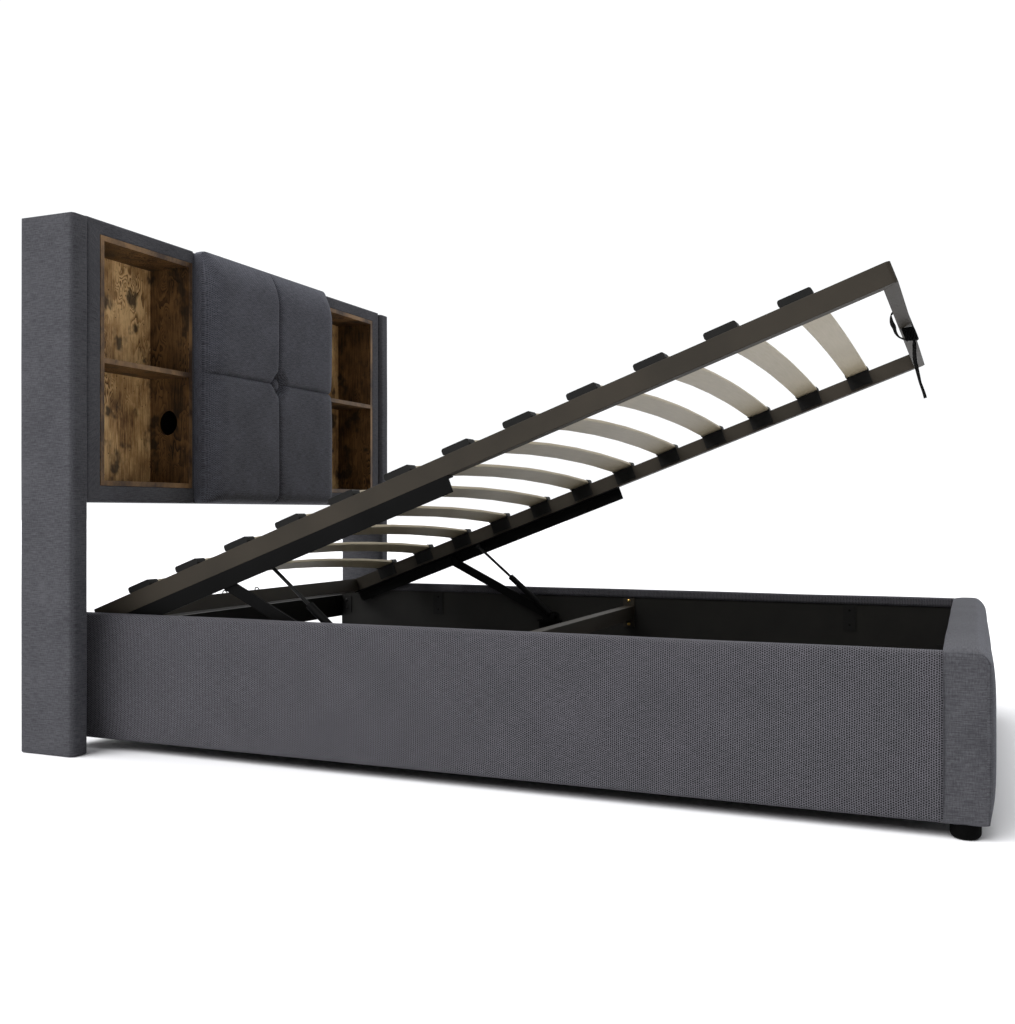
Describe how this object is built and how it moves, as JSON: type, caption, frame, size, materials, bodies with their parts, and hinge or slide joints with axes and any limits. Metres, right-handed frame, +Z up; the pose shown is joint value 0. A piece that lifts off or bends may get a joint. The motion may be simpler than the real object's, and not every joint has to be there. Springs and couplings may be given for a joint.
{
  "type": "upholstered storage bed",
  "caption": "Upholstered double bed with open side shelves in the headboard and a gas-sprung slatted platform that lifts from the foot over a storage base.",
  "frame": {"origin": "on the floor under the centre of the bed's outline", "axes": "+Z up, X across the bed, +Y from the foot to the headboard; left is -X"},
  "size_m": [1.442, 2.026, 1.212],
  "materials": {
    "fabric_fine": "fine dark blue-grey upholstery weave",
    "fabric_coarse": "coarse dark blue-grey basket weave",
    "wood_rustic": "rustic brown wood grain, satin",
    "wood_plain": "plain sawn softwood",
    "wood_slat": "pale laminated slat, satin",
    "board": "dark lined board, matt",
    "steel_frame": "powder-coated steel, matt",
    "steel_black": "black painted steel, satin",
    "zinc": "bright zinc and chrome",
    "brass": "yellow plated screws",
    "plastic_black": "black moulded plastic, matt",
    "webbing": "black woven webbing"
  },
  "bodies": {
    "base": {"post_board_left": "board", "post_board_right": "board", "post_cover_left": "fabric_fine", "post_cover_right": "fabric_fine", "surround_left": "fabric_fine", "surround_right": "fabric_fine", "shelf_box_left": "wood_rustic", "shelf_box_right": "wood_rustic", "shelf_back_left": "wood_rustic", "shelf_back_right": "wood_rustic", "shelf_left": "wood_rustic", "shelf_right": "wood_rustic", "centre_frame": "fabric_fine", "centre_cushion": "fabric_fine", "tuft_button": "fabric_fine", "headboard_back": "board", "head_cross_rail": "board", "side_board_left": "board", "side_board_right": "board", "side_cover_left": "fabric_coarse", "side_cover_right": "fabric_coarse", "foot_board": "board", "foot_cover": "fabric_fine", "feet": "plastic_black", "base_battens": "wood_plain", "base_runner": "wood_plain", "base_panel_head": "board", "base_panel_foot": "board", "cross_bar": "steel_frame", "cross_bar_plates": "steel_frame", "cross_bar_screws": "brass", "joint_plates": "steel_frame", "joint_plate_screws": "zinc", "corner_brackets": "steel_frame", "corner_bolts": "zinc", "lift_base_left": "steel_black", "lift_base_right": "steel_black", "base_pins": "zinc", "swing_bolts": "zinc"},
    "lift_arms": {"lift_arm_left": "steel_black", "lift_arm_right": "steel_black"},
    "platform": {"frame_side_left": "steel_frame", "frame_side_right": "steel_frame", "frame_head_tube": "steel_frame", "frame_foot_tube": "steel_frame", "lift_angle_left": "steel_black", "lift_angle_right": "steel_black", "platform_pins": "zinc", "pin_clips": "steel_frame", "wire_loops": "steel_frame", "slats": "wood_slat", "slat_holders": "plastic_black", "pull_strap": "webbing", "pull_strap_tail": "webbing"},
    "swing_links": {"swing_link_left": "steel_black", "swing_link_right": "steel_black"},
    "gas_cylinders": {"gas_cylinder_left": "steel_black", "gas_cylinder_right": "steel_black"},
    "gas_rods": {"gas_rod_left": "zinc", "gas_rod_right": "zinc"}
  },
  "joints": [
    {"name": "platform_lift", "type": "hinge", "parent": "base", "child": "lift_arms", "pos_m": [0, 0.22956, 0.229], "axis": [1, 0, 0], "range_deg": [-22.77, 0], "stiffness_Nm_per_rad": 200, "springref_deg": 68.75},
    {"name": "platform_tilt", "type": "hinge", "parent": "lift_arms", "child": "platform", "pos_m": [0, 0.55984, 0.39152], "axis": [1, 0, 0], "range_deg": [0, 43.37]},
    {"name": "link_swing", "type": "hinge", "parent": "base", "child": "swing_links", "pos_m": [0, 0.89683, 0.27983], "axis": [1, 0, 0], "range_deg": [0, 97.74]},
    {"name": "spring_tilt", "type": "hinge", "parent": "base", "child": "gas_cylinders", "pos_m": [0, 0.20456, 0.226], "axis": [1, 0, 0], "range_deg": [-33.89, 0]},
    {"name": "spring_slide", "type": "slide", "parent": "gas_cylinders", "child": "gas_rods", "axis": [0, 0.7657, 0.6433], "range_m": [-0.04689, 0]}
  ],
  "couplings": [
    {"joint": "platform_tilt", "follows": "platform_lift", "ratio": -1.9046},
    {"joint": "link_swing", "follows": "platform_lift", "ratio": -4.2918},
    {"joint": "spring_tilt", "follows": "platform_lift", "ratio": 1.4879},
    {"joint": "spring_slide", "follows": "platform_lift", "m_per_rad": 0.11798}
  ]
}
